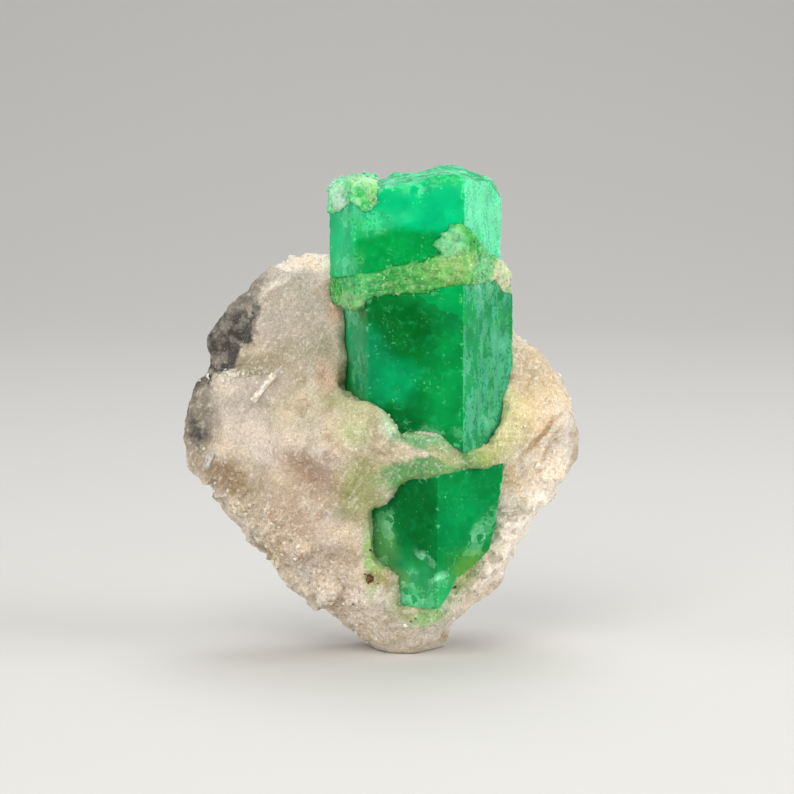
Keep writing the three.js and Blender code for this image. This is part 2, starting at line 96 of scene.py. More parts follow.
# Stains and tints of the rock, with painted light and painted shade among them: centre and half sizes in mm,
# turn, softness of the edge, strength and colour.
ROCK_STAINS = [
    ("milky upper face", (-11.0, -4.5, 43.0), (8.0, 7.0, 5.6), 20, 0.5, 0.8, "#ada395"),
    ("smoky lower band", (-11.0, -4.5, 37.2), (7.0, 6.0, 2.9), -6, 0.5, 0.65, "#a0967a"),
    ("smoky corner", (-15.4, -4.0, 36.6), (2.8, 4.0, 1.5), -20, 0.5, 0.7, "#8d8467"),
    # Partly the white sugar of the broken rim, partly painted light where the rim faces the lamps above.
    ("white rim", (-9.0, -1.5, 49.3), (5.5, 6.0, 1.7), 5, 0.25, 0.9, "#f0e5d8"),
    ("edge below the rim", (-12.6, -2.5, 46.6), (3.4, 3.0, 0.5), -28, 0.5, 0.6, "#efe7da"),
    ("orange on the rim", (-9.4, -2.2, 49.0), (2.4, 2.0, 0.8), 6, 0.7, 0.35, "#efc79b"),
    ("shade under the rim", (-9.6, -3.0, 47.6), (4.0, 3.0, 0.6), -10, 0.6, 0.45, "#9d9386"),
    ("silver left rim", (-17.6, 0.0, 44.6), (6.4, 6.0, 1.5), -48, 0.5, 0.85, "#7e786c"),
    # Partly pale sugar on the lip, partly a painted highlight where the lip faces up into the light.
    ("ledge lip", (-17.3, -5.0, 34.9), (4.9, 4.0, 0.6), -4, 0.6, 0.5, "#d4cbbe"),
    ("grey-white below the ledge", (-15.8, -6.0, 32.4), (5.2, 5.0, 2.6), -30, 0.6, 0.75, "#b0a69a"),
    ("smoky streak", (-13.0, -6.0, 31.8), (4.2, 4.0, 0.8), -52, 0.6, 0.4, "#a59b84"),
    ("pale middle", (-16.4, -7.0, 27.8), (5.5, 6.0, 3.4), 20, 0.6, 0.6, "#ddd2c8"),
    ("olive glass", (-8.6, -7.0, 31.0), (4.6, 5.0, 3.0), 0, 0.6, 0.5, "#b9b08e"),
    # Partly the grey of rock and mica, partly painted shade on the far left edge, which turns away from the
    # light.
    ("grey left edge", (-23.2, -2.0, 29.6), (2.9, 5.0, 5.4), 10, 0.5, 0.9, "#7b7367"),
    # Partly rust-brown, partly painted shade on a side that faces down and to the left.
    ("brown corner", (-19.8, -4.0, 22.6), (2.8, 3.0, 1.8), 25, 0.5, 0.8, "#80603a"),
    # Partly tan, partly painted shade in a shallow hollow of the lower left flank, which faces down.
    ("tan flank", (-14.4, -7.0, 20.4), (6.6, 5.0, 2.8), 36, 0.6, 0.55, "#a18a66"),
    ("pink by the crystal", (-6.5, -6.0, 35.2), (1.4, 2.4, 1.8), 0, 0.6, 0.5, "#cf9676"),
    ("pink above", (-5.6, -4.5, 43.6), (1.1, 2.4, 1.8), 0, 0.6, 0.45, "#dcab90"),
    ("brown-pink below the nub", (-7.4, -9.0, 23.4), (5.6, 4.5, 2.6), 24, 0.7, 0.75, "#a0806a"),
    ("rose flank", (-9.5, -8.0, 16.0), (6.5, 4.0, 4.6), 40, 0.6, 0.5, "#c9ad9a"),
    ("olive by the nub", (-3.6, -10.5, 32.6), (4.6, 4.0, 1.8), 18, 0.6, 0.55, "#a3ab70"),
    ("yellow glass on the nub", (-3.0, -11.5, 29.0), (2.6, 3.0, 1.8), 0, 0.6, 0.6, "#bcc98c"),
    ("mint nub edge", (1.6, -13.0, 30.6), (1.6, 3.0, 2.4), 0, 0.5, 0.7, "#9ccaa0"),
    ("olive under the nub", (-2.2, -10.5, 21.4), (3.0, 4.0, 4.4), 0, 0.5, 0.8, "#949c56"),
    ("green wedge", (7.6, -12.0, 24.4), (8.8, 3.0, 2.3), -8, 0.22, 0.95, "#4c9750"),
    ("pale flap", (5.6, -13.0, 27.9), (4.0, 2.0, 1.1), 12, 0.25, 0.9, "#56a568"),
    ("beige in the wedge", (8.4, -12.7, 26.2), (2.9, 1.8, 1.0), 24, 0.35, 0.75, "#b7b184"),
    ("olive transition", (13.7, -10.0, 26.6), (2.6, 3.5, 2.2), -30, 0.5, 0.75, "#a3a74c"),
    ("yellow-green lobe", (15.6, -7.0, 31.0), (2.6, 5.0, 4.8), -14, 0.6, 0.65, "#c3c27c"),
    ("cream shoulder", (19.0, -3.0, 35.5), (3.6, 5.0, 3.2), 40, 0.5, 0.8, "#bca681"),
    ("golden lobe", (19.6, -4.0, 30.4), (3.6, 5.0, 3.4), -50, 0.6, 0.5, "#e0c48e"),
    ("ochre streak", (19.8, -5.2, 27.6), (5.2, 3.0, 0.45), -46, 0.6, 0.7, "#9c7038"),
    ("second ochre streak", (20.6, -5.0, 25.4), (4.4, 3.0, 0.35), -52, 0.7, 0.5, "#a98252"),
    ("ochre spot", (16.4, -6.0, 22.4), (1.2, 2.6, 2.6), -30, 0.6, 0.6, "#b3925a"),
    ("pale strip", (17.0, -4.0, 15.0), (9.4, 6.0, 3.4), -58, 0.5, 0.85, "#f6eadb"),
    ("pale left foot", (-3.6, -6.0, 7.6), (5.6, 5.0, 2.8), 40, 0.6, 0.5, "#e8d9ca"),
    ("pale green edge", (-0.9, -9.0, 12.8), (1.4, 3.0, 4.2), 0, 0.5, 0.85, "#8fbf6c"),
    ("yellow-green foot", (10.2, -7.5, 10.2), (2.3, 3.0, 2.2), -38, 0.5, 0.8, "#94a850"),
    ("mint foot", (6.2, -8.0, 5.2), (2.8, 2.4, 1.5), -10, 0.5, 0.8, "#90c87c"),
    ("rust round the grain", (-0.4, -8.8, 10.7), (1.6, 1.6, 1.3), 0, 0.6, 0.5, "#b3774d"),
    ("pale under-foot", (1.4, -6.6, 3.4), (5.0, 4.0, 2.2), 20, 0.6, 0.4, "#e6d8c6"),
]


class RockSettings(bpy.types.PropertyGroup):
    """Sizes and colours of the rock."""

    fineness: bpy.props.FloatProperty(
        name="Fineness", description="Spacing of the rock's mesh", default=0.3 * MM, unit="LENGTH")
    grain: bpy.props.FloatProperty(
        name="Grain", description="Width of a sugar grain", default=0.34 * MM, unit="LENGTH")
    sugar: bpy.props.FloatProperty(
        name="Sugar", description="Loose grains on each square millimetre of the rough edges", default=0.22)
    cream: bpy.props.FloatVectorProperty(
        name="Cream", description="Feldspar sugar", subtype="COLOR", size=4, default=linear("#dccbb0"))
    milk: bpy.props.FloatVectorProperty(
        name="Milk", description="Milky quartz", subtype="COLOR", size=4, default=linear("#d3c9bb"))
    smoke: bpy.props.FloatVectorProperty(
        name="Smoke", description="Smoky glassy grains", subtype="COLOR", size=4, default=linear("#a08c6c"))
    mica: bpy.props.FloatVectorProperty(
        name="Mica", description="Dark mica", subtype="COLOR", size=4, default=linear("#171613"))


class EmeraldSettings(bpy.types.PropertyGroup):
    """Sizes and colours of the crystal."""

    detail: bpy.props.IntProperty(
        name="Detail", description="Halvings of each section's box in its mesh", default=7)
    # The glow is painted light: it brightens the crystal's colour so that its body seems lit from within.
    painted_glow: bpy.props.FloatProperty(
        name="Glow", description="Brightness of the crystal's body", default=1.22)
    clearness: bpy.props.FloatProperty(
        name="Clearness", description="Share of light let through", default=0.3, subtype="FACTOR")
    frost: bpy.props.FloatVectorProperty(
        name="Frost", description="Etched, broken faces", subtype="COLOR", size=4, default=linear("#a2e0bf"))


def alone(piece):
    """Selects one piece and nothing else."""
    bpy.ops.object.select_all(action="DESELECT")
    piece.select_set(True)
    bpy.context.view_layer.objects.active = piece


def settled(piece, kind, **settings):
    """Adds a modifier with its settings and applies it."""
    alone(piece)
    modifier = piece.modifiers.new(kind, kind)
    for name, value in settings.items():
        setattr(modifier, name, value)
    bpy.ops.object.modifier_apply(modifier=modifier.name)


def cad_copy(node, name):
    """A merged copy of a CAD node's mesh, as a new piece."""
    piece = bpy.data.objects.new(name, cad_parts[node].data.copy())
    bpy.context.scene.collection.objects.link(piece)
    piece.data.materials.clear()
    alone(piece)
    bpy.ops.object.mode_set(mode="EDIT")
    bpy.ops.mesh.select_all(action="SELECT")
    bpy.ops.mesh.remove_doubles(threshold=0.001 * MM)
    bpy.ops.object.mode_set(mode="OBJECT")
    return piece


def joined_pieces(pieces, name):
    """Several pieces as one."""
    bpy.ops.object.select_all(action="DESELECT")
    for piece in pieces:
        piece.select_set(True)
    bpy.context.view_layer.objects.active = pieces[0]
    bpy.ops.object.join()
    pieces[0].name = name
    return pieces[0]


def displaced(piece, kind, size, height, group="", **settings):
    """Pushes a surface in and out by a texture, or out and in where height is negative. Sizes are in mm."""
    texture = bpy.data.textures.new(kind, kind)
    for name, value in {"noise_scale": size * MM, **settings}.items():
        setattr(texture, name, value)
    settled(piece, "DISPLACE", texture=texture, texture_coords="LOCAL",
            strength=height * MM, vertex_group=group)


def points_of(piece):
    """A mesh's points in mm, one row each."""
    flat = np.empty(len(piece.data.vertices) * 3)
    piece.data.vertices.foreach_get("co", flat)
    return flat.reshape(-1, 3) / MM


def near(points, place, edge=0.3):
    """1 inside a place, falling to 0 outside it."""
    centre, size, turn = place
    x, y, z = (points - np.array(centre)).T
    cosine = math.cos(math.radians(turn))
    sine = math.sin(math.radians(turn))
    turned = np.stack([cosine * x - sine * z, y, sine * x + cosine * z], 1)
    reach = np.linalg.norm(turned / np.array(size), axis=1)
    share = np.clip((1 + edge - reach) / (2 * edge), 0, 1)
    return share * share * (3 - 2 * share)


def grouped(piece, name, weights, steps=20):
    """Stores a weight for each point, rounded to a number of steps, for modifiers to follow."""
    group = piece.vertex_groups.new(name=name)
    levels = np.round(np.clip(weights, 0, 1) * steps).astype(int)
    for level in range(1, steps + 1):
        group.add(np.nonzero(levels == level)[0].tolist(), level / steps, "REPLACE")


def marked(piece, name, weights):
    """Stores a value for each point, for materials and for strewing."""
    attribute = piece.data.attributes.new(name, "FLOAT", "POINT")
    attribute.data.foreach_set("value", weights.astype(np.float32))


def add(tree, kind, inputs=None, **settings):
    """Adds a node with its settings. inputs gives a value or another node's socket for each socket."""
    node = tree.nodes.new(kind)
    for name, value in settings.items():
        setattr(node, name, value)
    for key, value in (inputs or {}).items():
        if isinstance(value, bpy.types.NodeSocket):
            tree.links.new(value, node.inputs[key])
        else:
            node.inputs[key].default_value = value
    return node


def new_material(name):
    """An empty node material, and its tree."""
    material = bpy.data.materials.new(name)
    material.use_nodes = True
    material.node_tree.nodes.clear()
    return material, material.node_tree


def ragged(tree, place, size, by):
    """Coordinates pushed about by noise of that size, so that a zone's edge is irregular. Sizes are in mm."""
    cloud = add(tree, "ShaderNodeTexNoise", {"Vector": place, "Scale": 1 / (size * MM), "Detail": 3.0})
    middle = add(tree, "ShaderNodeVectorMath", {0: cloud.outputs["Color"], 1: (0.5, 0.5, 0.5)},
                 operation="SUBTRACT")
    push = add(tree, "ShaderNodeVectorMath", {0: middle.outputs[0], "Scale": 2 * by * MM}, operation="SCALE")
    return add(tree, "ShaderNodeVectorMath", {0: place, 1: push.outputs[0]}, operation="ADD").outputs[0]


def zone(tree, place, centre, size, turn, edge):
    """A soft ellipsoid, 1 inside and 0 outside. Sizes are in mm, and turn is about Y in degrees."""
    local = add(tree, "ShaderNodeMapping", {
        "Vector": place,
        "Location": [c * MM for c in centre],
        "Rotation": (0, math.radians(turn), 0),
        "Scale": [s * MM for s in size],
    }, vector_type="TEXTURE")
    reach = add(tree, "ShaderNodeVectorMath", {0: local.outputs[0]}, operation="LENGTH")
    return add(tree, "ShaderNodeMapRange", {
        "Value": reach.outputs["Value"], "From Min": 1 + edge, "From Max": 1 - edge,
    }, interpolation_type="SMOOTHSTEP").outputs[0]


def stained(tree, place, colour, stains):
    """Tints a colour in each stain's zone."""
    for _, centre, size, turn, edge, strength, tint in stains:
        share = product(tree, zone(tree, place, centre, size, turn, edge), strength)
        colour = mixed(tree, share, colour, linear(tint))
    return colour


def mixed(tree, share, first, second, blend="MIX"):
    """Two colours, mixed by a share from 0 to 1."""
    mix = add(tree, "ShaderNodeMix", {0: share, 6: first, 7: second}, data_type="RGBA", blend_type=blend)
    return mix.outputs[2]


def above(tree, value, low, high):
    """0 where a value is under low and 1 where it is over high."""
    return add(tree, "ShaderNodeMapRange", {"Value": value, "From Min": low, "From Max": high}).outputs[0]


def product(tree, first, second):
    """Two values multiplied."""
    return add(tree, "ShaderNodeMath", {0: first, 1: second}, operation="MULTIPLY").outputs[0]


def joined(tree, first, second, operation="MAXIMUM"):
    """One value from two."""
    return add(tree, "ShaderNodeMath", {0: first, 1: second}, operation=operation).outputs[0]


def tinted(tree, colour, value, low, high, share, tint):
    """A colour that takes on a share of a tint as a value goes from low to high."""
    return mixed(tree, product(tree, above(tree, value, low, high), share), colour, tint)


def noise(tree, place, size, detail=3.0):
    """Noise from 0 to 1, with lumps of that size in mm."""
    pattern = add(tree, "ShaderNodeTexNoise", {"Vector": place, "Scale": 1 / (size * MM), "Detail": detail})
    return pattern.outputs[0]


def cells(tree, place, size):
    """A cell pattern of that size in mm: distances from the cells' middles, cell colours, and their parts."""
    pattern = add(tree, "ShaderNodeTexVoronoi", {"Vector": place, "Scale": 1 / (size * MM)})
    colour = pattern.outputs["Color"]
    return pattern.outputs["Distance"], colour, add(tree, "ShaderNodeSeparateColor", {0: colour}).outputs


def dots(tree, place, spacing, radius, fewer):
    """Round dots, one in each cell whose number is over fewer. Spacing and radius are in mm."""
    distance, _, number = cells(tree, place, spacing)
    inside = above(tree, distance, 1.4 * radius / spacing, radius / spacing)
    return product(tree, inside, above(tree, number[0], fewer, fewer + 0.02))


def streaks(tree, place, turn, size, longer):
    """Noise drawn out along a line turned about Y, with a width in mm."""
    local = add(tree, "ShaderNodeMapping", {
        "Vector": place,
        "Rotation": (0, math.radians(turn), 0),
        "Scale": (longer, 1.0, 1.0),
    }, vector_type="TEXTURE")
    return noise(tree, local.outputs[0], size, 4.0)


def tilted(tree, bump, tint, by):
    """A bumped normal that leans another way in each grain, so that grains glint one by one."""
    tilt = add(tree, "ShaderNodeVectorMath", {0: tint, 1: (0.5, 0.5, 0.5)}, operation="SUBTRACT")
    lean = add(tree, "ShaderNodeVectorMath", {0: tilt.outputs[0], "Scale": by}, operation="SCALE")
    tipped = add(tree, "ShaderNodeVectorMath", {0: bump.outputs[0], 1: lean.outputs[0]}, operation="ADD")
    return add(tree, "ShaderNodeVectorMath", {0: tipped.outputs[0]}, operation="NORMALIZE").outputs[0]


def shaded(tree, colour, value, low, high):
    """A colour made darker and lighter by noise, from low to high times itself."""
    tone = add(tree, "ShaderNodeMapRange", {
        "Value": value, "From Min": 0.3, "From Max": 0.7, "To Min": low, "To Max": high}, clamp=False)
    return mixed(tree, 1.0, colour, tone.outputs[0], "MULTIPLY")


def mica_over(tree, colour, place, loose, mottle, fine, settings):
    """A colour with dark mica over it, in blotches in the split and on the grey edge, with painted glints on
    the mica.
    """
    split = zone(tree, loose, *ROCK_PLACES["mica split"], 0.6)
    left = product(tree, zone(tree, loose, *ROCK_PLACES["grey edge"], 0.5), 0.5)
    blotches = joined(tree, noise(tree, place, 1.7, 5.0), product(tree, mottle, 0.35), "ADD")
    amount = joined(tree, joined(tree, split, left), product(tree, blotches, 1.4), "ADD")
    silver = product(tree, zone(tree, loose, *ROCK_PLACES["silver rim"], 0.5), above(tree, mottle, 0.4, 0.6))
    cover = product(tree, above(tree, amount, 1.3, 1.7),
                    joined(tree, 1.0, product(tree, silver, 0.6), "SUBTRACT"))
    dark = mixed(tree, above(tree, blotches, 0.58, 0.7), linear("#736e64"), settings.mica)
    # The pale flecks on the mica are painted glints.
    dark = tinted(tree, dark, fine, 0.58, 0.7, 0.6, linear("#a29d92"))
    return mixed(tree, product(tree, cover, 0.95), colour, dark)


def rock_colour(tree, place, rough, number, settings):
    """Milky and smoky glass with stains, painted light and shade, white and glassy grains with painted glints
    among them, mica, and a few dark specks.
    """
    loose = ragged(tree, ragged(tree, place, 5.0, 1.6), 1.1, 0.45)
    mottle = noise(tree, place, 0.8, 5.0)
    fine = noise(tree, place, 0.2)
    milky = above(tree, noise(tree, place, 5.0, 4.0), 0.42, 0.58)
    colour = mixed(tree, milky, settings.cream, settings.milk)
    colour = tinted(tree, colour, noise(tree, loose, 3.4, 5.0), 0.5, 0.64, 0.75, settings.smoke)
    colour = stained(tree, loose, colour, ROCK_STAINS)
    contact = add(tree, "ShaderNodeAttribute", attribute_name="contact").outputs["Fac"]
    colour = tinted(tree, colour, mottle, 0.3, 0.6, product(tree, contact, 0.8), linear("#83b25f"))
    drawn = streaks(tree, place, -55, 0.5, 6.0)
    colour = tinted(tree, colour, drawn, 0.56, 0.74, 0.35, linear("#fdf6ea"))
    colour = tinted(tree, colour, mottle, 0.54, 0.7, 0.3, settings.smoke)
    # The white grains are painted glints that stand in for sparkle; the darker grains are a second tone of
    # the sugar.
    speckle_and_glint = joined(tree, 0.2, product(tree, rough, 0.35), "ADD")
    colour = tinted(tree, colour, number[0], 0.78, 0.95, speckle_and_glint, linear("#fff8ee"))
    colour = tinted(tree, colour, number[1], 0.78, 0.95, speckle_and_glint, linear("#94846a"))
    colour = mica_over(tree, colour, place, loose, mottle, fine, settings)
    spots = dots(tree, ragged(tree, place, 0.3, 0.1), 1.4, 0.08, 0.7)
    colour = mixed(tree, product(tree, spots, 0.7), colour, linear("#5a4630"))
    return shaded(tree, colour, fine, 0.74, 1.18)


def sugar_material(settings):
    """Sugary quartz and feldspar, broken in the rock: every grain has its own tone, and its own glint."""
    material, tree = new_material("quartz and feldspar sugar, broken")
    place = add(tree, "ShaderNodeTexCoord").outputs["Object"]
    rough = add(tree, "ShaderNodeAttribute", attribute_name="strewn").outputs["Fac"]
    distance, tint, number = cells(tree, place, settings.grain / MM)
    colour = rock_colour(tree, place, rough, number, settings)
    height = joined(tree, noise(tree, place, 0.3, 4.0), product(tree, distance, 0.7), "SUBTRACT")
    bump = add(tree, "ShaderNodeBump", {"Strength": 0.8, "Distance": 0.13 * MM, "Height": height})
    gloss = add(tree, "ShaderNodeMapRange", {"Value": number[2], "To Min": 0.25, "To Max": 0.7})
    shader = add(tree, "ShaderNodeBsdfPrincipled", {
        "Base Color": colour,
        "Roughness": gloss.outputs[0],
        "IOR": 1.54,
        "Subsurface Weight": 0.5,
        "Subsurface Radius": (1.0, 0.8, 0.55),
        "Subsurface Scale": 0.55 * MM,
        "Normal": tilted(tree, bump, tint, joined(tree, 0.25, product(tree, rough, 0.4), "ADD")),
    })
    add(tree, "ShaderNodeOutputMaterial", {"Surface": shader.outputs[0]})
    return material


def distance_to(piece, points):
    """How far each point is from a piece's surface, both in mm."""
    return np.array([(piece.closest_point_on_mesh(point * MM)[1] / MM - Vector(point)).length
                     for point in points])


def granular_share(points):
    """1 where the rock is rough sugar, and near 0 on its smooth faces."""
    calm = np.maximum(0.9 * near(points, ROCK_PLACES["smooth upper face"]),
                      0.7 * near(points, ROCK_PLACES["smooth middle"], 0.5))
    rough = np.max([share * near(points, ROCK_PLACES[name], 0.4) for name, share in GRANULAR.items()], axis=0)
    return np.maximum(rough, 0.3 + 0.3 * near(points, ROCK_PLACES["back"], 0.3)) * (1 - calm)


def off_foot(points):
    """0 on the flat that the rock stands on, and 1 a little above it."""
    return np.clip((points[:, 2] - 0.3) / 1.5, 0, 1)


def pushed_out(rock, points):
    """Swells the rock above its foot, more at ledge and shoulder, draws in a corner, and ruffles it."""
    x, _, z = points.T
    jagged = points.copy()
    jagged[:, 2] += 0.3 * np.sin(4.3 * x) + 0.22 * np.sin(9.1 * x + 1.0)
    grouped(rock, "off the foot", off_foot(points))
    grouped(rock, "ledge", near(jagged, ROCK_PLACES["ledge"], 0.05) * np.clip((z - 27.0) / 7.5, 0, 1))
    for name in ("left shoulder", "rim corner"):
        grouped(rock, name, near(points, ROCK_PLACES[name], 0.5))
    for name, push in PUSHES.items():
        settled(rock, "DISPLACE", strength=push * MM, mid_level=0.0, vertex_group=name)
    displaced(rock, "CLOUDS", 5.0, 1.0, "off the foot", noise_depth=2)
    displaced(rock, "VORONOI", 5.0, -0.9, "off the foot")


def with_lumps(rock, points, spacing):
    """Sets broken lumps in the rock's rough sides, and makes one skin of them all."""
    sides = np.clip((points[:, 2] - 3.0) / 3.0, 0, 1)
    marked(rock, "lumpy", sides * np.clip(granular_share(points) * 1.6 - 0.6, 0, 1))
    lumps = strewn(rock, "lumps", "lumpy", 0.16, (1.2, 2.8), 8)
    joined_pieces([rock, lumps], "rock")
    rock.vertex_groups.clear()
    settled(rock, "REMESH", mode="VOXEL", voxel_size=spacing)
    settled(rock, "SMOOTH", factor=0.5, iterations=2)


def closed_on_crystal(rock, points):
    """Draws the rock's edges to the crystal, and gives how far the green seeps into each point."""
    left = np.clip((12.0 - points[:, 0]) / 4.0, 0.15, 1)
    low = np.clip((35.0 - points[:, 2]) / 3.0, 0, 1)
    contact = np.zeros(len(points))
    for section, share in SEEPING.items():
        crystal = bpy.data.objects[f"beryl_{section}"]
        gap = distance_to(crystal, points_of(rock))
        grouped(rock, section, np.clip((1.1 - gap) / 0.5, 0, 1))
        contact = np.maximum(contact, share * left * low * np.clip(1.1 - gap / 2.2, 0, 1))
        settled(rock, "SHRINKWRAP", target=crystal, vertex_group=section, wrap_method="NEAREST_SURFACEPOINT")
    return contact


class SPECIMEN_OT_rock(bpy.types.Operator):
    """Builds the rock round the crystal"""

    bl_idname = "specimen.rock"
    bl_label = "Rock"

    def execute(self, context):
        settings = context.scene.specimen_rock
        rock = cad_copy("matrix", "rock")
        settled(rock, "REMESH", mode="VOXEL", voxel_size=1.16 * settings.fineness)
        settled(rock, "SMOOTH", factor=0.5, iterations=3)
        points = points_of(rock)
        pushed_out(rock, points)
        with_lumps(rock, points, settings.fineness)

        points = points_of(rock)
        granular = granular_share(points)
        grouped(rock, "granular", off_foot(points) * granular)
        grouped(rock, "everywhere", off_foot(points))
        displaced(rock, "CLOUDS", 1.5, 0.5, "everywhere", noise_depth=3)
        displaced(rock, "VORONOI", 0.85, -0.4, "granular")
        contact = closed_on_crystal(rock, points)
        mica = near(points, ROCK_PLACES["mica split"], 0.3)
        marked(rock, "strewn", off_foot(points) * np.clip(1.3 * granular - 0.3, 0, 1) * (1 - 0.8 * mica))
        marked(rock, "lip", near(points, ROCK_PLACES["ledge lip"], 0.4))
        marked(rock, "contact", contact)
        alone(rock)
        bpy.ops.object.shade_smooth()
        rock.data.materials.append(sugar_material(settings))
        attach(rock, BODY)
        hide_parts("matrix")
        return {"FINISHED"}


def broken_grain(seed):
    """A broken grain of a crystal, one unit across: a cube cut by planes."""
    chance = random.Random(seed)
    bpy.ops.object.select_all(action="DESELECT")
    bpy.ops.mesh.primitive_cube_add(size=0.9)
    bpy.ops.object.mode_set(mode="EDIT")
    for _ in range(4):
        normal = Vector([chance.gauss(0, 1) for _ in range(3)]).normalized()
        bpy.ops.mesh.select_all(action="SELECT")
        bpy.ops.mesh.bisect(plane_co=normal * chance.uniform(0.26, 0.4), plane_no=normal,
                            use_fill=True, clear_outer=True)
    bpy.ops.object.mode_set(mode="OBJECT")
    return bpy.context.object


def strewn(ground, name, wanted, per_mm2, sizes, seed):
    """Broken grains strewn over a ground, as one mesh. wanted names its attribute of where. Sizes in mm."""
    heap = bpy.data.objects.new(name, bpy.data.meshes.new(name))
    bpy.context.scene.collection.objects.link(heap)
    shapes = bpy.data.collections.new(name)
    grains = [broken_grain(shape) for shape in range(GRAIN_SHAPES)]
    for grain in grains:
        shapes.objects.link(grain)
    tree = bpy.data.node_groups.new(name, "GeometryNodeTree")
    tree.interface.new_socket("Geometry", in_out="OUTPUT", socket_type="NodeSocketGeometry")
    source = add(tree, "GeometryNodeObjectInfo", {"Object": ground})
    where = add(tree, "GeometryNodeInputNamedAttribute", {"Name": wanted}, data_type="FLOAT")
    density = add(tree, "ShaderNodeMath", {0: where.outputs[0], 1: per_mm2 / MM ** 2}, operation="MULTIPLY")
    spots = add(tree, "GeometryNodeDistributePointsOnFaces", {
        "Mesh": source.outputs["Geometry"],
        "Density": density.outputs[0],
        "Seed": seed,
    })
    pick = add(tree, "GeometryNodeCollectionInfo", {
        "Collection": shapes,
        "Separate Children": True,
        "Reset Children": True,
    })
    turn = add(tree, "FunctionNodeRandomValue", {0: (0, 0, 0), 1: (6.3, 6.3, 6.3), "Seed": seed},
               data_type="FLOAT_VECTOR")
    scale = add(tree, "FunctionNodeRandomValue", {2: sizes[0] * MM, 3: sizes[1] * MM, "Seed": seed + 1},
                data_type="FLOAT")
    placed = add(tree, "GeometryNodeInstanceOnPoints", {
        "Points": spots.outputs["Points"],
        "Instance": pick.outputs[0],
        "Pick Instance": True,
        "Rotation": turn.outputs[0],
        "Scale": scale.outputs[1],
    })
    real = add(tree, "GeometryNodeRealizeInstances", {"Geometry": placed.outputs[0]})
    add(tree, "NodeGroupOutput", {0: real.outputs[0]})
    settled(heap, "NODES", node_group=tree)
    heap.data.materials.clear()
    bpy.data.collections.remove(shapes)
    for grain in grains:
        bpy.data.objects.remove(grain)
    return heap


def quartz_material(settings):
    """Clean quartz grains: clear and white, with sharp glints on their broken faces."""
    material, tree = new_material("clear quartz grains, broken")
    place = add(tree, "ShaderNodeTexCoord").outputs["Object"]
    number = cells(tree, place, 1.1)[2]
    rough = add(tree, "ShaderNodeAttribute", attribute_name="strewn").outputs["Fac"]
    colour = rock_colour(tree, place, rough, number, settings)
    colour = mixed(tree, above(tree, number[2], 0.2, 1.0), colour, linear("#fbf3e6"))
    shader = add(tree, "ShaderNodeBsdfPrincipled", {
        "Base Color": colour,
        "Roughness": 0.25,
        "IOR": 1.54,
        "Subsurface Weight": 0.8,
        "Subsurface Radius": (1.0, 0.9, 0.75),
        "Subsurface Scale": 0.8 * MM,
    })
    add(tree, "ShaderNodeOutputMaterial", {"Surface": shader.outputs[0]})
    return material


class SPECIMEN_OT_sugar(bpy.types.Operator):
    """Strews broken grains over the rock's edges, the seam, the crust, and where rock and crystal meet"""

    bl_idname = "specimen.sugar"
    bl_label = "Sugar grains"

    def execute(self, context):
        settings = context.scene.specimen_rock
        rock = bpy.data.objects["rock"]
        seam = bpy.data.objects["regrown_healed_seam"]
        crust = bpy.data.objects["regrown_corner_crust"]
        for filling in (seam, crust):
            marked(filling, "strewn", np.ones(len(filling.data.vertices)))
        quartz = quartz_material(settings)
        sugar, green, mint = (ground.data.materials[0] for ground in (rock, seam, crust))
        for name, ground, wanted, per_mm2, sizes, material, slot in (
                ("quartz_grains", rock, "strewn", settings.sugar, (0.25, 0.65), quartz, "rock"),
                ("ledge_grains", rock, "lip", 2.5, (0.25, 0.75), quartz, "rock"),
                ("contact_grains", rock, "contact", 1.8, (0.2, 0.45), sugar, "rock"),
                ("seam_grains", seam, "strewn", 2.0, (0.15, 0.45), green, "seam"),
                ("crust_grains", crust, "strewn", 1.2, (0.15, 0.5), mint, "seam")):
            heap = strewn(ground, name, wanted, per_mm2, sizes, len(name))
            heap.data.materials.append(material)
            if wanted == "contact":
                marked(heap, wanted, np.full(len(heap.data.vertices), 0.9))
            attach(heap, BODY)
        return {"FINISHED"}
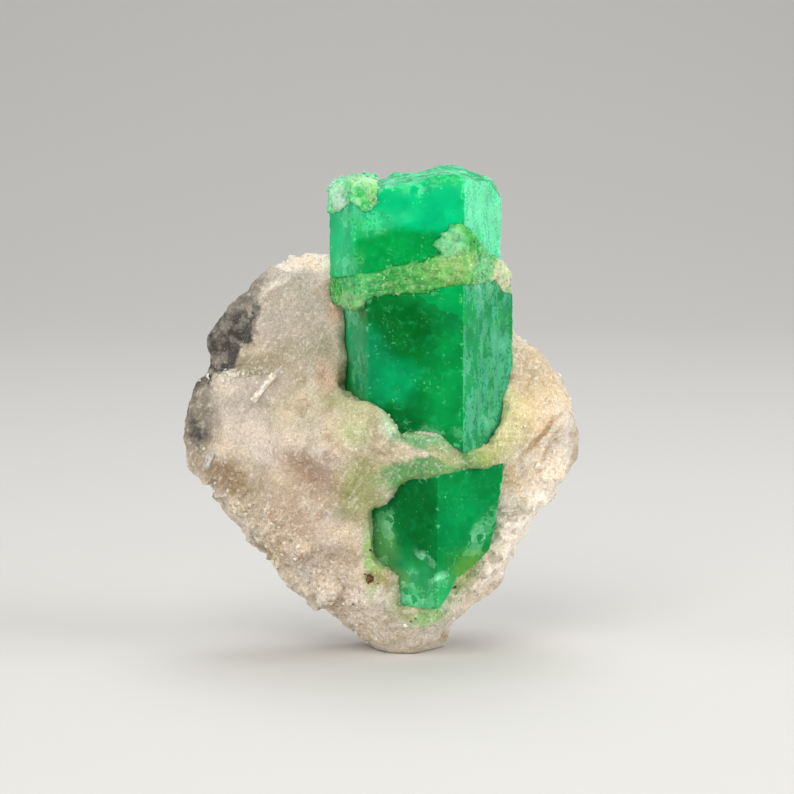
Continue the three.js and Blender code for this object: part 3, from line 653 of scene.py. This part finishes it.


# The crystal's sections. Stains and scuffs have a centre and half sizes in mm, a turn, the softness of the
# edge and a strength. A face looks in a direction, in degrees seen from above, and has a strength, a tint,
# a share of frost and how patchy these are; the tint is partly painted light and shade, lighter on the faces
# turned to the right and darker on the base's face turned to the left. The fracture is a line's middle and
# slope, and the tint above it.
SECTIONS = {
    "top": {
        "body": "#06b263",
        "faces": [(-34.0, 0.9, "#70deb0", 0.45, 0.3)],
        "fracture": None,
        "stains": [
            ("lit upper front", (4.6, -11.4, 56.9), (8.5, 3.0, 3.3), 0, 0.3, 0.9, "#07c587"),
            ("deep lower front", (4.4, -11.2, 50.8), (7.4, 3.0, 3.0), 6, 0.22, 0.9, "#049c45"),
            ("deep lower left", (-0.6, -11.2, 49.6), (4.4, 3.0, 2.4), 10, 0.4, 0.7, "#04a049"),
            ("left face", (-4.6, -8.0, 53.4), (1.7, 6.0, 8.0), 0, 0.35, 0.7, "#1cc283"),
            ("pale band", (1.0, -11.3, 54.6), (3.6, 2.0, 0.8), -26, 0.6, 0.35, "#3fd39c"),
        ],
        "scuffs": [
            ("left etching", (-3.6, -9.6, 55.4), (2.2, 3.0, 2.2), 0, 0.6, 0.7),
            ("below the crust", (-0.4, -11.2, 54.6), (1.8, 2.0, 1.4), -40, 0.6, 0.6),
            ("left foot", (-3.8, -9.0, 49.6), (1.8, 3.0, 2.2), 0, 0.6, 0.6),
            ("front top edge", (6.0, -11.6, 59.4), (6.5, 2.0, 0.8), -4, 0.7, 0.8),
        ],
    },
    "middle": {
        "body": "#0a8a40",
        "faces": [(-38.0, 0.9, "#0f946c", 0.65, 0.85)],
        "fracture": ((7.8, 44.2), -29.0, "#03a553"),
        "stains": [
            ("dark heart", (2.2, -11.6, 41.6), (5.6, 3.0, 4.0), 18, 0.3, 0.9, "#046914"),
            ("dark heart lower", (4.2, -11.8, 35.8), (3.4, 3.0, 4.6), -20, 0.4, 0.6, "#067d2e"),
            ("dark foot", (2.6, -12.0, 30.6), (3.0, 3.0, 1.6), 20, 0.4, 0.8, "#046420"),
            ("teal left", (-1.4, -9.6, 37.6), (3.2, 4.0, 5.4), -10, 0.4, 0.75, "#09905e"),
            ("blue-green cloud", (2.4, -11.6, 35.4), (2.4, 2.6, 2.6), 35, 0.4, 0.75, "#06a568"),
            ("lighter right", (9.0, -12.0, 35.6), (3.4, 3.0, 6.2), 0, 0.45, 0.7, "#07a04c"),
            ("left strip", (-3.9, -6.4, 41.8), (1.4, 4.0, 4.6), 0, 0.4, 0.65, "#2fab70"),
            ("low right", (9.6, -11.6, 28.8), (5.0, 3.0, 1.6), -8, 0.4, 0.5, "#068a3c"),
        ],
        "scuffs": [
            ("left strip etching", (-3.6, -7.0, 43.4), (1.6, 3.0, 2.6), 0, 0.6, 0.9),
            ("left foot", (-2.6, -8.4, 36.4), (1.4, 3.0, 3.0), 0, 0.6, 0.45),
            ("shoulder below the seam", (12.6, -9.6, 46.6), (2.6, 3.0, 2.4), 10, 0.5, 0.9),
            ("right face", (14.2, -7.4, 39.0), (2.4, 4.0, 7.0), 0, 0.6, 0.5),
            ("foot of the right face", (13.2, -8.6, 30.0), (1.5, 3.0, 1.8), 0, 0.5, 0.8),
            ("along the wedge", (6.4, -12.4, 29.4), (4.4, 2.0, 0.7), 6, 0.6, 0.6),
        ],
    },
    "base": {
        "body": "#078a42",
        "faces": [(-121.0, 0.45, "#056b27", 0.0, 0.4)],
        "fracture": None,
        "stains": [
            ("dark heart", (5.2, -11.4, 18.6), (1.7, 3.0, 5.0), 4, 0.3, 0.9, "#046420"),
            ("dark heart left", (2.9, -10.6, 18.4), (1.3, 3.0, 3.4), -14, 0.4, 0.7, "#04691f"),
            ("dark upper left", (3.2, -10.4, 20.8), (2.6, 3.0, 1.6), 10, 0.4, 0.8, "#067026"),
            ("clear right", (9.6, -10.4, 18.6), (3.2, 3.0, 3.8), 0, 0.4, 0.8, "#04964e"),
            ("bright foot", (4.6, -9.2, 8.6), (4.4, 3.0, 4.2), 0, 0.5, 0.9, "#45c983"),
            ("pale left edge", (0.4, -7.6, 14.0), (1.7, 3.0, 3.6), 0, 0.5, 0.8, "#7dbb72"),
            ("pale foot edge", (2.2, -8.4, 10.4), (1.6, 2.0, 1.4), 40, 0.5, 0.7, "#8cba74"),
            ("olive edge", (11.0, -9.6, 12.2), (2.6, 2.0, 1.1), -38, 0.6, 0.75, "#659a3c"),
            ("olive shade", (9.4, -9.6, 13.2), (1.8, 2.0, 1.2), -20, 0.8, 0.4, "#3d9a3e"),
        ],
        "scuffs": [
            ("veil left", (1.0, -8.4, 17.4), (1.0, 2.0, 1.7), 0, 0.5, 1.0),
            ("veil right", (12.6, -9.0, 16.0), (1.2, 2.0, 3.2), 32, 0.5, 1.0),
            ("veil middle", (5.6, -10.4, 13.0), (1.5, 2.0, 0.7), 40, 0.5, 1.0),
            ("veil foot", (3.4, -9.0, 9.0), (0.9, 2.0, 2.8), 14, 0.4, 1.0),
            ("veil foot right", (7.4, -10.6, 10.2), (1.9, 2.0, 1.0), -40, 0.5, 1.0),
            ("veil foot tip", (5.2, -9.4, 7.2), (2.6, 2.0, 1.6), 0, 0.6, 0.9),
            ("left edge", (0.2, -7.4, 14.4), (1.2, 2.0, 3.4), 0, 0.5, 0.8),
        ],
    },
}


def fractured(tree, loose, colour, fracture):
    """A colour that takes on a tint above a healed fracture."""
    (x, z), slope, tint = fracture
    turn = math.radians(slope)
    across = (-math.sin(turn), 0, math.cos(turn))
    offset = add(tree, "ShaderNodeVectorMath", {0: loose, 1: (x * MM, 0, z * MM)}, operation="SUBTRACT")
    height = add(tree, "ShaderNodeVectorMath", {0: offset.outputs[0], 1: across},
                 operation="DOT_PRODUCT").outputs["Value"]
    cleft = zone(tree, loose, (x, -12.2, z + 0.6), (4.6, 3.0, 3.6), 0, 0.3)
    return tinted(tree, colour, height, -0.06 * MM, 0.06 * MM, cleft, linear(tint))


def beryl_material(settings, section):
    """Natural emerald: saturated and clear on its growth faces, paler where etched or broken, with a painted
    glow over its body and painted light and shade on its faces.
    """
    looks = SECTIONS[section]
    material, tree = new_material(f"natural beryl, {section} of the crystal")
    place = add(tree, "ShaderNodeTexCoord").outputs["Object"]
    loose = ragged(tree, ragged(tree, place, 3.0, 1.0), 0.8, 0.4)
    upright = add(tree, "ShaderNodeMapping", {"Vector": place, "Scale": (1.0, 1.0, 0.35)}).outputs[0]
    etching = noise(tree, upright, 0.3, 4.0)
    mottle = noise(tree, place, 0.35, 5.0)
    shards = cells(tree, ragged(tree, place, 0.8, 0.35), 1.0)[2]

    colour = stained(tree, loose, linear(looks["body"]), looks["stains"])
    wisps = above(tree, noise(tree, loose, 0.9, 5.0), 0.54, 0.74)
    colour = mixed(tree, product(tree, wisps, 0.3), colour, linear("#2cc987"))
    if looks["fracture"]:
        colour = fractured(tree, loose, colour, looks["fracture"])

    end = add(tree, "ShaderNodeAttribute", attribute_name="end").outputs["Fac"]
    rim = add(tree, "ShaderNodeAttribute", attribute_name="rim").outputs["Fac"]
    colour = mixed(tree, product(tree, end, 0.8), colour, linear("#1fb97c"))
    scuffs = stained(tree, loose, linear("#000000"), [(*scuff, "#ffffff") for scuff in looks["scuffs"]])
    scuffed = product(tree, scuffs, above(tree, shards[0], 0.1, 0.95))
    broken = joined(tree, scuffed, product(tree, end, above(tree, shards[1], 0.2, 1.0)))
    scratches = noise(tree, ragged(tree, upright, 0.6, 0.3), 0.9, 8.0)
    grit = above(tree, joined(tree, mottle, scratches, "ADD"), 0.72, 1.3)
    frost = product(tree, broken, joined(tree, 0.15, grit, "ADD"))
    weathered = product(tree, above(tree, noise(tree, place, 3.0), 0.5, 0.68), above(tree, mottle, 0.56, 0.7))
    frost = joined(tree, frost, product(tree, weathered, 0.3))
    frost = joined(tree, frost, product(tree, product(tree, rim, above(tree, wisps, 0.1, 0.5)), 0.4))
    surface = add(tree, "ShaderNodeNewGeometry").outputs["Normal"]
    patches = above(tree, noise(tree, ragged(tree, upright, 0.9, 0.4), 1.3, 3.0), 0.4, 0.6)
    # A face's tint is partly painted light and shade: lighter on faces turned to the right, darker on the
    # base's face turned to the left. The frost on them is the crystal's own.
    for heading, strength, tint, frosted, patchy in looks["faces"]:
        turn = math.radians(heading)
        facing = add(tree, "ShaderNodeVectorMath", {0: surface, 1: (math.cos(turn), math.sin(turn), 0)},
                     operation="DOT_PRODUCT").outputs["Value"]
        cover = joined(tree, 1 - patchy, product(tree, patches, patchy), "ADD")
        face = product(tree, product(tree, above(tree, facing, 0.92, 0.97), strength), cover)
        colour = mixed(tree, face, colour, linear(tint))
        frost = joined(tree, frost, product(tree, product(tree, face, frosted), grit))
    colour = mixed(tree, product(tree, frost, 0.65), colour, settings.frost)
    speck_place = ragged(tree, place, 0.25, 0.09)
    specks = joined(tree, dots(tree, speck_place, 0.9, 0.05, 0.4), dots(tree, speck_place, 2.1, 0.09, 0.6))
    colour = mixed(tree, product(tree, specks, 0.5), colour, linear("#a6f0cc"))
    # Cloudy tone at random, times the painted glow that brightens the whole body as if lit from within.
    cloud = add(tree, "ShaderNodeMapRange", {
        "Value": noise(tree, loose, 2.2, 4.0), "From Min": 0.3, "From Max": 0.7,
        "To Min": 0.82 * settings.painted_glow, "To Max": 1.18 * settings.painted_glow})
    colour = mixed(tree, 1.0, colour, cloud.outputs[0], "MULTIPLY")

    height = joined(tree, etching, product(tree, broken, mottle), "ADD")
    bump = add(tree, "ShaderNodeBump", {"Strength": 0.25, "Distance": 0.06 * MM, "Height": height})
    rough = add(tree, "ShaderNodeMapRange", {"Value": frost, "To Min": 0.22, "To Max": 0.6})
    clear = add(tree, "ShaderNodeMapRange", {"Value": frost, "To Min": settings.clearness, "To Max": 0.05})
    shader = add(tree, "ShaderNodeBsdfPrincipled", {
        "Base Color": colour,
        "Roughness": rough.outputs[0],
        "IOR": 1.58,
        "Specular IOR Level": 0.08,
        "Specular Tint": (0.05, 1.0, 0.45, 1.0),
        "Transmission Weight": clear.outputs[0],
        "Subsurface Weight": 1.0,
        "Subsurface Radius": (0.2, 1.0, 0.5),
        "Subsurface Scale": 1.2 * MM,
        "Normal": bump.outputs[0],
    })
    depth = add(tree, "ShaderNodeVolumeAbsorption", {"Color": (0.02, 0.985, 0.895, 1.0), "Density": 400.0})
    add(tree, "ShaderNodeOutputMaterial", {"Surface": shader.outputs[0], "Volume": depth.outputs[0]})
    return material


def edge_share(piece):
    """1 at points on a sharp edge and 0 on flat faces, spread by a few points."""
    mesh = piece.data
    corners = np.empty(len(mesh.loops), int)
    mesh.loops.foreach_get("vertex_index", corners)
    normals = np.empty(len(mesh.vertices) * 3)
    mesh.vertices.foreach_get("normal", normals)
    normals = normals.reshape(-1, 3)
    faces = np.array([polygon.normal for polygon in mesh.polygons])
    counts = np.array([polygon.loop_total for polygon in mesh.polygons])
    lean = 1 - np.einsum("ij,ij->i", normals[corners], np.repeat(faces, counts, axis=0))
    share = np.zeros(len(mesh.vertices))
    np.maximum.at(share, corners, np.clip(lean / 0.06, 0, 1))
    ends = np.array([edge.vertices[:] for edge in mesh.edges])
    for _ in range(2):
        spread = share.copy()
        np.maximum.at(spread, ends[:, 0], 0.75 * share[ends[:, 1]])
        np.maximum.at(spread, ends[:, 1], 0.75 * share[ends[:, 0]])
        share = spread
    return share


# The height above which the crystal's upward faces are its broken end, in mm.
BROKEN_END = 56.5


class SPECIMEN_OT_crystal(bpy.types.Operator):
    """Builds the three sections of the emerald"""

    bl_idname = "specimen.crystal"
    bl_label = "Emerald sections"

    def execute(self, context):
        settings = context.scene.specimen_emerald
        for section in SECTIONS:
            piece = cad_copy(f"emerald_{section}", f"beryl_{section}")
            settled(piece, "REMESH", mode="SHARP", octree_depth=settings.detail, scale=0.95,
                    use_remove_disconnected=False)
            rim = edge_share(piece)
            up = np.array([vertex.normal.z for vertex in piece.data.vertices])
            high = np.clip((points_of(piece)[:, 2] - BROKEN_END) / 1.5, 0, 1)
            end = high * np.clip((up - 0.35) / 0.3, 0, 1)
            marked(piece, "rim", rim)
            marked(piece, "end", end)
            grouped(piece, "rim", rim)
            grouped(piece, "end", end)
            settled(piece, "DISPLACE", strength=0.16 * MM, mid_level=0.0)
            displaced(piece, "CLOUDS", 3.5, 0.14)
            displaced(piece, "CLOUDS", 0.8, 0.26, "rim")
            displaced(piece, "VORONOI", 1.9, -0.45, "end")
            alone(piece)
            bpy.ops.object.shade_smooth_by_angle(angle=math.radians(35))
            piece.data.materials.append(beryl_material(settings, section))
            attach(piece, BODY)
            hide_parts(f"emerald_{section}")
        return {"FINISHED"}


# What grew in the upper fracture, and on the top's left corner.
FILLINGS = {
    "healed_seam": {
        "body": "#1ea43c",
        "pale": "#9bd286",
        "deep": "#0a9c42",
        "stains": [
            ("green left end", (-2.6, -10.0, 47.0), (3.2, 4.0, 1.8), 0, 0.5, 0.8, "#2fb268"),
            ("pale left foot", (-3.8, -9.4, 44.8), (2.4, 4.0, 1.4), 0, 0.5, 0.75, "#8cc283"),
            ("deep green middle", (3.0, -11.6, 46.4), (3.4, 3.0, 1.6), -6, 0.5, 0.6, "#2f9a34"),
            ("yellow-green right", (8.4, -12.0, 48.6), (3.6, 3.0, 1.8), 8, 0.6, 0.6, "#93c968"),
            ("mint tongue", (8.6, -12.2, 52.6), (1.9, 2.0, 1.9), 30, 0.35, 0.85, "#86e0a6"),
            ("pale shoulder", (9.8, -12.2, 50.0), (2.2, 2.0, 1.3), -10, 0.5, 0.5, "#b6d284"),
            ("mint right", (12.6, -9.6, 48.9), (1.4, 3.0, 2.2), 0, 0.5, 0.7, "#7ccf98"),
            ("beige right end", (15.2, -6.6, 47.6), (1.7, 4.0, 2.8), 0, 0.3, 0.9, "#e0d8b8"),
        ],
    },
    "corner_crust": {
        "body": "#58cf8c",
        "pale": "#b9ecc4",
        "deep": "#12b865",
        "stains": [
            ("white left edge", (-5.4, -9.0, 57.6), (1.2, 4.0, 2.8), -12, 0.5, 0.85, "#c6f0d2"),
            ("bright heart", (-2.6, -11.2, 57.2), (1.3, 2.0, 2.4), 0, 0.5, 0.85, "#2bc258"),
            ("yellow-green right", (-0.8, -11.2, 58.2), (0.9, 2.0, 1.8), 0, 0.5, 0.75, "#8ecb6a"),
            ("pale top", (-2.4, -10.6, 60.0), (3.2, 3.0, 0.7), 6, 0.5, 0.7, "#b4e2a6"),
            ("pale foot", (-4.2, -10.0, 54.4), (2.2, 3.0, 0.8), 30, 0.5, 0.7, "#a4e0b0"),
        ],
    },
}


def filling_material(node):
    """Beryl and quartz regrown as a crust of fine glassy grains, green where beryl is, with painted glints in
    a few grains.
    """
    looks = FILLINGS[node]
    material, tree = new_material(f"regrown grains, {node}")
    place = add(tree, "ShaderNodeTexCoord").outputs["Object"]
    loose = ragged(tree, place, 1.2, 0.5)
    colour = stained(tree, loose, linear(looks["body"]), looks["stains"])
    distance, tint, number = cells(tree, place, 0.24)
    clumps = noise(tree, place, 0.9, 5.0)
    # The last tone, pale yellow in a few cells, is painted glints; the others are pale and deep grains.
    for value, low, high, share, tone in (
            (clumps, 0.5, 0.66, 0.55, looks["pale"]),
            (clumps, 0.5, 0.36, 0.5, looks["deep"]),
            (number[0], 0.6, 0.95, 0.3, looks["pale"]),
            (number[1], 0.7, 0.95, 0.25, looks["deep"]),
            (number[2], 0.955, 0.97, 0.3, "#f0f6cf")):
        colour = tinted(tree, colour, value, low, high, share, linear(tone))
    height = joined(tree, noise(tree, place, 0.2), distance, "SUBTRACT")
    bump = add(tree, "ShaderNodeBump", {"Strength": 0.5, "Distance": 0.08 * MM, "Height": height})
    shader = add(tree, "ShaderNodeBsdfPrincipled", {
        "Base Color": colour,
        "Roughness": 0.35,
        "IOR": 1.56,
        "Specular IOR Level": 0.35,
        "Subsurface Weight": 0.8,
        "Subsurface Radius": (0.45, 1.0, 0.5),
        "Subsurface Scale": 1.4 * MM,
        "Normal": tilted(tree, bump, tint, 0.35),
    })
    add(tree, "ShaderNodeOutputMaterial", {"Surface": shader.outputs[0]})
    return material


class SPECIMEN_OT_fillings(bpy.types.Operator):
    """Builds the healed seam and the corner crust"""

    bl_idname = "specimen.fillings"
    bl_label = "Healed seam and crust"

    def execute(self, context):
        for node in FILLINGS:
            piece = cad_copy(node, f"regrown_{node}")
            settled(piece, "REMESH", mode="VOXEL", voxel_size=0.16 * MM)
            settled(piece, "DISPLACE", strength=0.3 * MM, mid_level=0.0)
            displaced(piece, "CLOUDS", 1.5, 0.6, noise_depth=2)
            displaced(piece, "VORONOI", 0.9, -0.3)
            displaced(piece, "VORONOI", 0.4, -0.2)
            alone(piece)
            bpy.ops.object.shade_smooth()
            piece.data.materials.append(filling_material(node))
            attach(piece, BODY)
            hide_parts(node)
        return {"FINISHED"}


def rust_material():
    """An iron-stained grain: dull brown, darker in its cracks."""
    material, tree = new_material("iron-stained grain")
    place = add(tree, "ShaderNodeTexCoord").outputs["Object"]
    crumbs = noise(tree, place, 0.3, 4.0)
    colour = mixed(tree, above(tree, crumbs, 0.4, 0.6), linear("#24150a"), linear("#8a5c30"))
    bump = add(tree, "ShaderNodeBump", {"Strength": 0.7, "Distance": 0.08 * MM, "Height": crumbs})
    shader = add(tree, "ShaderNodeBsdfPrincipled", {
        "Base Color": colour,
        "Roughness": 0.5,
        "Normal": bump.outputs[0],
    })
    add(tree, "ShaderNodeOutputMaterial", {"Surface": shader.outputs[0]})
    return material


def front_of(rock, x, z):
    """Where the rock's front is, seen straight from the viewer's side. x, z and the answer are in mm."""
    viewer = Vector((x, -40, z)) * MM
    found, place, _, _ = rock.ray_cast(viewer, Vector((0, 1, 0)))
    if not found:
        raise ValueError(f"the rock has no front at x {x}, z {z}")
    return place / MM


def milky_material():
    """Single crystals and facets of milky quartz: white, glassy on their faces, a little cloudy inside."""
    material, tree = new_material("milky quartz, grown and cleaved")
    place = add(tree, "ShaderNodeTexCoord").outputs["Object"]
    colour = mixed(tree, above(tree, noise(tree, place, 0.5), 0.4, 0.6), linear("#efe5d9"), linear("#c4b6a4"))
    shader = add(tree, "ShaderNodeBsdfPrincipled", {
        "Base Color": colour,
        "Roughness": 0.3,
        "IOR": 1.54,
        "Subsurface Weight": 0.8,
        "Subsurface Radius": (1.0, 0.9, 0.8),
        "Subsurface Scale": 1.0 * MM,
    })
    add(tree, "ShaderNodeOutputMaterial", {"Surface": shader.outputs[0]})
    return material


def set_down(rock, x, z, size, seed):
    """A broken grain of that size in mm, half sunk in the rock's front."""
    grain = broken_grain(seed)
    grain.location = (front_of(rock, x, z) + Vector((0, 0.05 * size, 0))) * MM
    grain.scale = (size * MM, size * MM, size * MM)
    bpy.ops.object.transform_apply(location=True, rotation=True, scale=True)
    return grain


def prism(rock, name, foot, tip, width):
    """A six-sided crystal with a point, rising out of the rock's front. foot and tip are x and z in mm."""
    first, last = (front_of(rock, *end) for end in (foot, tip))
    middle = (first + last) / 2
    bulge = min(0, front_of(rock, *middle.xz).y - middle.y)
    first += Vector((0, 0.25 * width, 0))
    way = last - first
    bpy.ops.object.select_all(action="DESELECT")
    bpy.ops.mesh.primitive_cylinder_add(vertices=6, radius=0.5 * width * MM, depth=0.75 * way.length * MM)
    crystal = bpy.context.object
    crystal.name = name
    for polygon in crystal.data.polygons:
        polygon.select = polygon.normal.z > 0.9
    bpy.ops.object.mode_set(mode="EDIT")
    bpy.ops.mesh.select_mode(type="FACE")
    bpy.ops.mesh.extrude_region_move(TRANSFORM_OT_translate={"value": (0, 0, 0.25 * way.length * MM)})
    bpy.ops.transform.resize(value=(0.1, 0.1, 1.0))
    bpy.ops.object.mode_set(mode="OBJECT")
    crystal.rotation_euler = way.to_track_quat("Z", "Y").to_euler()
    crystal.location = (first + 0.4 * way + Vector((0, bulge + 0.2 * width, 0))) * MM
    bpy.ops.object.transform_apply(location=True, rotation=True, scale=True)
    return crystal


# Single crystals in the rock's front, as x and z of foot and tip, and width, in mm.
PRISMS = [
    ("spear", (-15.9, 32.2), (-12.3, 36.6), 0.9),
    ("pink_crystal", (-21.9, 23.2), (-20.8, 25.8), 1.2),
]

# White facets and iron-stained specks in the rock's front, as x, z and size in mm.
WHITE_FACETS = [(16.6, 17.4, 1.3), (14.8, 15.1, 1.1), (16.8, 15.6, 0.9), (15.4, 18.6, 0.8), (13.0, 9.9, 1.2),
                (14.4, 10.1, 0.9), (16.2, 12.3, 1.5), (19.6, 24.0, 0.9), (20.6, 22.0, 0.7), (18.4, 20.4, 0.8),
                (19.0, 18.6, 0.6), (21.6, 25.6, 0.6), (14.2, 12.6, 0.7), (12.0, 8.0, 0.9)]
IRON_SPECKS = [(-1.9, 10.9, 0.35), (-0.3, 9.9, 0.3), (-1.5, 9.7, 0.25), (9.3, 8.9, 0.5), (-1.2, 13.9, 0.35),
               (3.8, 4.9, 0.3), (4.4, 5.3, 0.22), (-3.4, 6.8, 0.25)]


class SPECIMEN_OT_crystals(bpy.types.Operator):
    """Sets the spear, the pink crystal and the white facets in the rock"""

    bl_idname = "specimen.crystals"
    bl_label = "Single crystals"

    def execute(self, context):
        rock = bpy.data.objects["rock"]
        pieces = [prism(rock, *sizes) for sizes in PRISMS]
        pieces += [set_down(rock, x, z, size, seed) for seed, (x, z, size) in enumerate(WHITE_FACETS)]
        single = joined_pieces(pieces, "single_crystals")
        single.data.materials.clear()
        single.data.materials.append(milky_material())
        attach(single, BODY)
        return {"FINISHED"}


class SPECIMEN_OT_rust(bpy.types.Operator):
    """Builds the rusty grain in its pit, with the iron-stained specks about it"""

    bl_idname = "specimen.rust"
    bl_label = "Rusty grain"

    def execute(self, context):
        rock = bpy.data.objects["rock"]
        grain = cad_copy("rusty_grain", "iron_stained_grain")
        settled(grain, "SUBSURF", subdivision_type="SIMPLE", levels=3, render_levels=3)
        displaced(grain, "VORONOI", 0.7, -0.5)
        displaced(grain, "CLOUDS", 0.35, 0.3)
        specks = [set_down(rock, x, z, size, seed) for seed, (x, z, size) in enumerate(IRON_SPECKS)]
        grain = joined_pieces([grain, *specks], "iron_stained_grain")
        bpy.ops.object.shade_smooth_by_angle(angle=math.radians(30))
        grain.data.materials.clear()
        grain.data.materials.append(rust_material())
        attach(grain, BODY)
        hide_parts("rusty_grain")
        return {"FINISHED"}


# The pale floor, and the backdrop that rises from its far edge in a curve, in metres.
FLOOR_WIDTH = 2.4
BACKDROP_HEIGHT = 1.2
BACKDROP_CURVE = 0.8

# The camera looks along +Y from a little above, as the photographer did.
AIM = (2.08, -0.2, 32.0)  # mm
ELEVATION = 7.0  # degrees
DISTANCE = 0.417  # metres
FIELD = 0.1  # width of the view at that distance, in metres

# Soft lights: place and aim in metres, size, power in watts, and tint.
SPECIMEN = (0.002, 0.0, 0.032)
SOFT_LIGHTS = [
    ("key", (-0.12, -0.40, 0.44), SPECIMEN, 0.36, 1.7, "#fffdf8"),
    ("right side", (0.42, -0.14, 0.20), SPECIMEN, 0.30, 1.4, "#ffffff"),
    ("left fill", (-0.45, -0.16, 0.16), SPECIMEN, 0.30, 0.6, "#ffffff"),
    ("top", (0.05, 0.12, 0.50), SPECIMEN, 0.30, 0.9, "#ffffff"),
    ("low left", (-0.22, -0.40, 0.03), SPECIMEN, 0.22, 0.45, "#fff8ee"),
    ("low right", (0.24, -0.36, 0.03), SPECIMEN, 0.22, 0.35, "#fff8ee"),
    ("backdrop", (0.0, 0.45, 0.70), (0.0, 0.75, 0.05), 0.5, 1.6, "#ffffff"),
]


class SPECIMEN_OT_stage(bpy.types.Operator):
    """Sets the pale floor, the soft lights and the camera"""

    bl_idname = "specimen.stage"
    bl_label = "Stage"

    def execute(self, context):
        bpy.ops.object.select_all(action="DESELECT")
        bpy.ops.mesh.primitive_plane_add(size=FLOOR_WIDTH)
        floor = context.object
        floor.name = "floor"
        bpy.ops.object.mode_set(mode="EDIT")
        bpy.ops.mesh.select_all(action="DESELECT")
        bpy.ops.object.mode_set(mode="OBJECT")
        for edge in floor.data.edges:
            edge.select = all(floor.data.vertices[i].co.y > 0 for i in edge.vertices)
        bpy.ops.object.mode_set(mode="EDIT")
        bpy.ops.mesh.extrude_region_move(TRANSFORM_OT_translate={"value": (0, 0, BACKDROP_HEIGHT)})
        bpy.ops.object.mode_set(mode="OBJECT")
        settled(floor, "BEVEL", width=BACKDROP_CURVE, segments=32, affect="EDGES", limit_method="ANGLE")
        bpy.ops.object.shade_smooth()
        material, tree = new_material("matt paper")
        shader = add(tree, "ShaderNodeBsdfPrincipled", {"Base Color": linear("#cfcecb"), "Roughness": 0.8})
        add(tree, "ShaderNodeOutputMaterial", {"Surface": shader.outputs[0]})
        floor.data.materials.append(material)

        for name, place, target, size, power, tint in SOFT_LIGHTS:
            bpy.ops.object.light_add(type="AREA", location=place)
            light = context.object
            light.name = name
            light.data.size = size
            light.data.energy = power
            light.data.color = linear(tint)[:3]
            light.rotation_euler = (Vector(target) - Vector(place)).to_track_quat("-Z", "Y").to_euler()
        world = bpy.data.worlds.new("studio air")
        world.use_nodes = True
        world.node_tree.nodes["Background"].inputs["Color"].default_value = linear("#f2f3f5")
        world.node_tree.nodes["Background"].inputs["Strength"].default_value = 0.3
        context.scene.world = world

        tilt = math.radians(ELEVATION)
        away = Vector((0, -math.cos(tilt), math.sin(tilt))) * DISTANCE
        bpy.ops.object.camera_add(location=Vector(AIM) * MM + away, rotation=(math.pi / 2 - tilt, 0, 0))
        context.object.data.lens = 36.0 * DISTANCE / FIELD
        context.scene.camera = context.object
        context.scene.view_settings.view_transform = "Standard"
        return {"FINISHED"}


# The order in which the pieces are built: the rock closes on the crystal, and the grains lie on the rock.
OPERATORS = (
    SPECIMEN_OT_stage,
    SPECIMEN_OT_crystal,
    SPECIMEN_OT_rock,
    SPECIMEN_OT_fillings,
    SPECIMEN_OT_sugar,
    SPECIMEN_OT_crystals,
    SPECIMEN_OT_rust,
)


class SPECIMEN_PT_panel(bpy.types.Panel):
    """Lists the pieces of the specimen"""

    bl_label = "Emerald in matrix"
    bl_space_type = "VIEW_3D"
    bl_region_type = "UI"
    bl_category = "Specimen"

    def draw(self, context):
        for operator in OPERATORS:
            self.layout.operator(operator.bl_idname)
        for settings in (context.scene.specimen_rock, context.scene.specimen_emerald):
            box = self.layout.box()
            for name in settings.__annotations__:
                box.prop(settings, name)


CLASSES = (RockSettings, EmeraldSettings, *OPERATORS, SPECIMEN_PT_panel)


def register():
    """Adds the operators, the panel and the settings."""
    for cls in CLASSES:
        bpy.utils.register_class(cls)
    bpy.types.Scene.specimen_rock = bpy.props.PointerProperty(type=RockSettings)
    bpy.types.Scene.specimen_emerald = bpy.props.PointerProperty(type=EmeraldSettings)


def unregister():
    """Takes them away again."""
    del bpy.types.Scene.specimen_rock
    del bpy.types.Scene.specimen_emerald
    for cls in reversed(CLASSES):
        bpy.utils.unregister_class(cls)


def main():
    """Builds the stage and every piece."""
    register()
    for operator in OPERATORS:
        group, name = operator.bl_idname.split(".")
        getattr(getattr(bpy.ops, group), name)()


if __name__ == "__main__":
    main()
